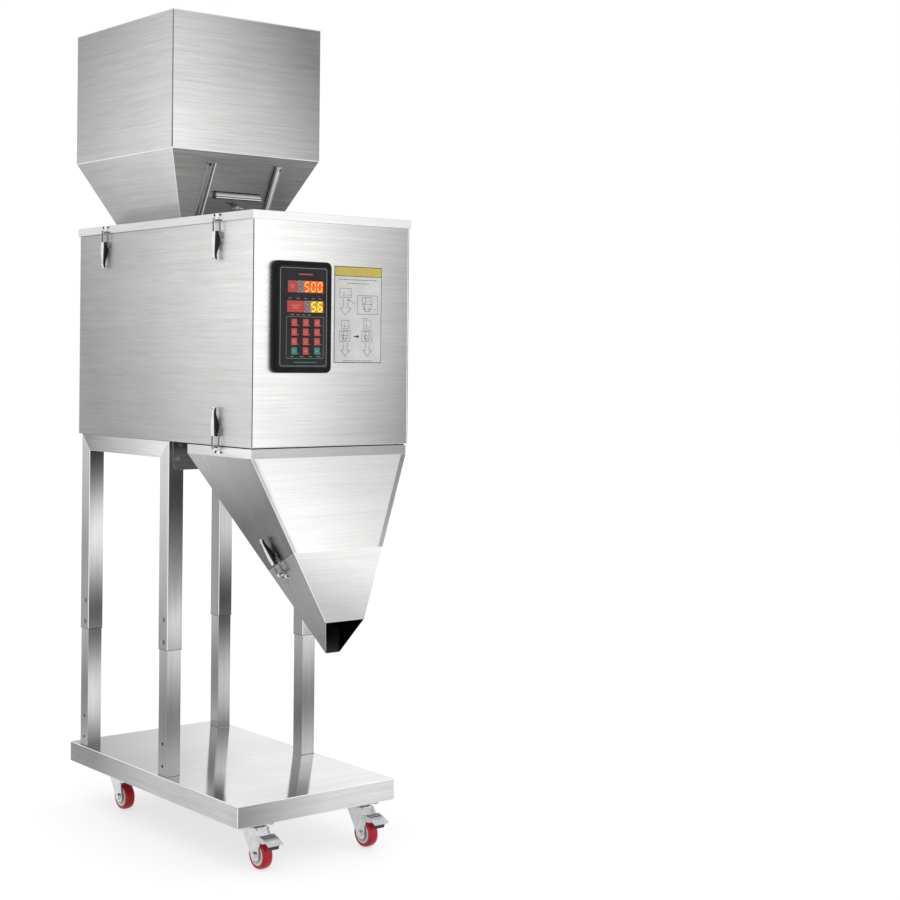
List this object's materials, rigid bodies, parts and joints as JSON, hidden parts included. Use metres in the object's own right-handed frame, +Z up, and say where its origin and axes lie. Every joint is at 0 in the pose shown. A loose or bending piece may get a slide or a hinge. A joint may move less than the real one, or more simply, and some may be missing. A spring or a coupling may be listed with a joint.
{
  "type": "weighing filling machine",
  "caption": "Floor-standing weighing filling machine in brushed steel: hopper, latched weighing cabinet with control panel, discharge funnel and a height-adjustable cart on red casters.",
  "frame": {"origin": "on the floor, under the middle of the machine's overall width and depth", "axes": "+Z up; -Y to the front, where the control panel and funnel are; +X to the right as seen from the front"},
  "size_m": [0.428, 0.822, 1.8072],
  "materials": {
    "brushed_steel": "fine vertical brushed grain, satin",
    "tube_steel": "satin tube and folded sheet",
    "bright_steel": "bright pressed steel",
    "zinc": "bright zinc plate",
    "chrome": "polished plate",
    "red_tyre": "smooth red polyurethane on a pale core",
    "black_rubber": "plain dark rubber",
    "dark_wing": "blackened steel",
    "panel_frame": "fine moulded grain",
    "panel_face": "printed membrane",
    "board": "lacquered board",
    "black_plastic": "moulded black",
    "shelf_paint": "grey paint",
    "iron": "dark iron",
    "aluminium": "milled aluminium"
  },
  "bodies": {
    "cart": {"platform_tray": "tube_steel", "caster_plates": "zinc", "lower_leg_front_left": "tube_steel", "lower_leg_front_right": "tube_steel", "lower_leg_rear_left": "tube_steel", "lower_leg_rear_right": "tube_steel"},
    "upper_unit": {"side_frame_left": "tube_steel", "side_frame_right": "tube_steel", "cross_rails": "tube_steel", "frame_screws": "bright_steel", "cabinet_shell": "brushed_steel", "front_panel": "brushed_steel", "lid": "brushed_steel", "hopper": "brushed_steel", "gate_rails": "brushed_steel", "funnel": "brushed_steel", "funnel_gasket": "black_rubber", "spout": "brushed_steel", "latch_plates": "bright_steel", "control_housing": "panel_frame", "control_faceplate": "panel_face", "control_boards": "board", "power_inlet": "black_plastic", "feeder_stand": "shelf_paint", "leaf_springs": "zinc", "electromagnet": "iron", "flap_actuator": "iron", "load_cell": "aluminium", "weigh_bucket": "brushed_steel"},
    "fork_front_left": {"caster_fork_front_left": "zinc"},
    "wheel_front_left": {"caster_wheel_front_left": "red_tyre"},
    "pedal_left": {"brake_pedal_left": "chrome"},
    "fork_front_right": {"caster_fork_front_right": "zinc"},
    "wheel_front_right": {"caster_wheel_front_right": "red_tyre"},
    "pedal_right": {"brake_pedal_right": "chrome"},
    "fork_rear_left": {"caster_fork_rear_left": "zinc"},
    "wheel_rear_left": {"caster_wheel_rear_left": "red_tyre"},
    "fork_rear_right": {"caster_fork_rear_right": "zinc"},
    "wheel_rear_right": {"caster_wheel_rear_right": "red_tyre"},
    "lever_lid_front_left": {"latch_lever_lid_front_left": "bright_steel"},
    "bail_lid_front_left": {"latch_bail_lid_front_left": "bright_steel"},
    "lever_lid_rear_left": {"latch_lever_lid_rear_left": "bright_steel"},
    "bail_lid_rear_left": {"latch_bail_lid_rear_left": "bright_steel"},
    "lever_funnel_left": {"latch_lever_funnel_left": "bright_steel"},
    "bail_funnel_left": {"latch_bail_funnel_left": "bright_steel"},
    "lever_spout_left": {"latch_lever_spout_left": "bright_steel"},
    "bail_spout_left": {"latch_bail_spout_left": "bright_steel"},
    "lever_lid_front_right": {"latch_lever_lid_front_right": "bright_steel"},
    "bail_lid_front_right": {"latch_bail_lid_front_right": "bright_steel"},
    "lever_lid_rear_right": {"latch_lever_lid_rear_right": "bright_steel"},
    "bail_lid_rear_right": {"latch_bail_lid_rear_right": "bright_steel"},
    "lever_funnel_right": {"latch_lever_funnel_right": "bright_steel"},
    "bail_funnel_right": {"latch_bail_funnel_right": "bright_steel"},
    "lever_spout_right": {"latch_lever_spout_right": "bright_steel"},
    "bail_spout_right": {"latch_bail_spout_right": "bright_steel"},
    "gate": {"gate_plate": "brushed_steel"},
    "wing_bolt": {"gate_wing_bolt": "dark_wing"},
    "tray_feeder": {"feed_tray": "brushed_steel"},
    "bucket_door": {"bucket_flap": "brushed_steel"},
    "rocker": {"power_switch": "black_plastic"}
  },
  "joints": [
    {"name": "height_adjust", "type": "slide", "parent": "cart", "child": "upper_unit", "axis": [0, 0, 1], "range_m": [-0.27, 0]},
    {"name": "swivel_front_left", "type": "hinge", "parent": "cart", "child": "fork_front_left", "pos_m": [-0.136, -0.288, 0.0857], "axis": [0, 0, 1], "continuous": true},
    {"name": "roll_front_left", "type": "hinge", "parent": "fork_front_left", "child": "wheel_front_left", "pos_m": [-0.136, -0.31, 0.03], "axis": [1, 0, 0], "continuous": true},
    {"name": "brake_left", "type": "hinge", "parent": "fork_front_left", "child": "pedal_left", "pos_m": [-0.136, -0.322, 0.067], "axis": [1, 0, 0], "range_deg": [0, 24]},
    {"name": "swivel_front_right", "type": "hinge", "parent": "cart", "child": "fork_front_right", "pos_m": [0.136, -0.288, 0.0857], "axis": [0, 0, 1], "continuous": true},
    {"name": "roll_front_right", "type": "hinge", "parent": "fork_front_right", "child": "wheel_front_right", "pos_m": [0.136, -0.31, 0.03], "axis": [1, 0, 0], "continuous": true},
    {"name": "brake_right", "type": "hinge", "parent": "fork_front_right", "child": "pedal_right", "pos_m": [0.136, -0.322, 0.067], "axis": [1, 0, 0], "range_deg": [0, 24]},
    {"name": "swivel_rear_left", "type": "hinge", "parent": "cart", "child": "fork_rear_left", "pos_m": [-0.136, 0.282, 0.0857], "axis": [0, 0, 1], "continuous": true},
    {"name": "roll_rear_left", "type": "hinge", "parent": "fork_rear_left", "child": "wheel_rear_left", "pos_m": [-0.136, 0.26, 0.03], "axis": [1, 0, 0], "continuous": true},
    {"name": "swivel_rear_right", "type": "hinge", "parent": "cart", "child": "fork_rear_right", "pos_m": [0.136, 0.282, 0.0857], "axis": [0, 0, 1], "continuous": true},
    {"name": "roll_rear_right", "type": "hinge", "parent": "fork_rear_right", "child": "wheel_rear_right", "pos_m": [0.136, 0.26, 0.03], "axis": [1, 0, 0], "continuous": true},
    {"name": "latch_lid_front_left", "type": "hinge", "parent": "upper_unit", "child": "lever_lid_front_left", "pos_m": [-0.207, -0.23, 1.3072], "axis": [0, 1, 0], "range_deg": [0, 90]},
    {"name": "link_lid_front_left", "type": "hinge", "parent": "lever_lid_front_left", "child": "bail_lid_front_left", "pos_m": [-0.206, -0.23, 1.2992], "axis": [0, 1, 0], "range_deg": [-79, 1]},
    {"name": "latch_lid_rear_left", "type": "hinge", "parent": "upper_unit", "child": "lever_lid_rear_left", "pos_m": [-0.207, 0.248, 1.3072], "axis": [0, 1, 0], "range_deg": [0, 90]},
    {"name": "link_lid_rear_left", "type": "hinge", "parent": "lever_lid_rear_left", "child": "bail_lid_rear_left", "pos_m": [-0.206, 0.248, 1.2992], "axis": [0, 1, 0], "range_deg": [-79, 1]},
    {"name": "latch_funnel_left", "type": "hinge", "parent": "upper_unit", "child": "lever_funnel_left", "pos_m": [-0.207, -0.233, 0.894], "axis": [0, -1, 0], "range_deg": [0, 90]},
    {"name": "link_funnel_left", "type": "hinge", "parent": "lever_funnel_left", "child": "bail_funnel_left", "pos_m": [-0.206, -0.233, 0.902], "axis": [0, -1, 0], "range_deg": [-79, 1]},
    {"name": "latch_spout_left", "type": "hinge", "parent": "upper_unit", "child": "lever_spout_left", "pos_m": [-0.1114, -0.3135, 0.63069], "axis": [-0.1046, -0.9659, 0.2367], "range_deg": [0, 90]},
    {"name": "link_spout_left", "type": "hinge", "parent": "lever_spout_left", "child": "bail_spout_left", "pos_m": [-0.11361, -0.31143, 0.63816], "axis": [-0.1046, -0.9659, 0.2367], "range_deg": [-79, 1]},
    {"name": "latch_lid_front_right", "type": "hinge", "parent": "upper_unit", "child": "lever_lid_front_right", "pos_m": [0.207, -0.23, 1.3072], "axis": [0, -1, 0], "range_deg": [0, 90]},
    {"name": "link_lid_front_right", "type": "hinge", "parent": "lever_lid_front_right", "child": "bail_lid_front_right", "pos_m": [0.206, -0.23, 1.2992], "axis": [0, -1, 0], "range_deg": [-79, 1]},
    {"name": "latch_lid_rear_right", "type": "hinge", "parent": "upper_unit", "child": "lever_lid_rear_right", "pos_m": [0.207, 0.248, 1.3072], "axis": [0, -1, 0], "range_deg": [0, 90]},
    {"name": "link_lid_rear_right", "type": "hinge", "parent": "lever_lid_rear_right", "child": "bail_lid_rear_right", "pos_m": [0.206, 0.248, 1.2992], "axis": [0, -1, 0], "range_deg": [-79, 1]},
    {"name": "latch_funnel_right", "type": "hinge", "parent": "upper_unit", "child": "lever_funnel_right", "pos_m": [0.207, -0.233, 0.894], "axis": [0, 1, 0], "range_deg": [0, 90]},
    {"name": "link_funnel_right", "type": "hinge", "parent": "lever_funnel_right", "child": "bail_funnel_right", "pos_m": [0.206, -0.233, 0.902], "axis": [0, 1, 0], "range_deg": [-79, 1]},
    {"name": "latch_spout_right", "type": "hinge", "parent": "upper_unit", "child": "lever_spout_right", "pos_m": [0.1114, -0.3135, 0.63069], "axis": [-0.1046, 0.9659, -0.2367], "range_deg": [0, 90]},
    {"name": "link_spout_right", "type": "hinge", "parent": "lever_spout_right", "child": "bail_spout_right", "pos_m": [0.11361, -0.31143, 0.63816], "axis": [-0.1046, 0.9659, -0.2367], "range_deg": [-79, 1]},
    {"name": "gate_slide", "type": "slide", "parent": "upper_unit", "child": "gate", "axis": [0, -0.4586, 0.8886], "range_m": [0, 0.075]},
    {"name": "wing_bolt_turn", "type": "hinge", "parent": "gate", "child": "wing_bolt", "pos_m": [0, 0.02715, 1.39641], "axis": [0, -0.8886, -0.4586], "continuous": true},
    {"name": "feed_vibration", "type": "slide", "parent": "upper_unit", "child": "tray_feeder", "axis": [0, -0.9397, 0.342], "range_m": [-0.0005, 0.0005], "stiffness_N_per_m": 60000, "springref_m": 0.0001},
    {"name": "bucket_flap_swing", "type": "hinge", "parent": "upper_unit", "child": "bucket_door", "pos_m": [0, -0.159, 1.011], "axis": [1, 0, 0], "range_deg": [0, 60], "stiffness_Nm_per_rad": 0.5, "springref_deg": -28.65},
    {"name": "power_rocker", "type": "hinge", "parent": "upper_unit", "child": "rocker", "pos_m": [-0.12, 0.381, 0.944], "axis": [1, 0, 0], "range_deg": [-10, 10]}
  ],
  "couplings": [
    {"joint": "link_lid_front_left", "follows": "latch_lid_front_left", "ratio": -0.867},
    {"joint": "link_lid_rear_left", "follows": "latch_lid_rear_left", "ratio": -0.867},
    {"joint": "link_funnel_left", "follows": "latch_funnel_left", "ratio": -0.867},
    {"joint": "link_spout_left", "follows": "latch_spout_left", "ratio": -0.867},
    {"joint": "link_lid_front_right", "follows": "latch_lid_front_right", "ratio": -0.867},
    {"joint": "link_lid_rear_right", "follows": "latch_lid_rear_right", "ratio": -0.867},
    {"joint": "link_funnel_right", "follows": "latch_funnel_right", "ratio": -0.867},
    {"joint": "link_spout_right", "follows": "latch_spout_right", "ratio": -0.867}
  ]
}
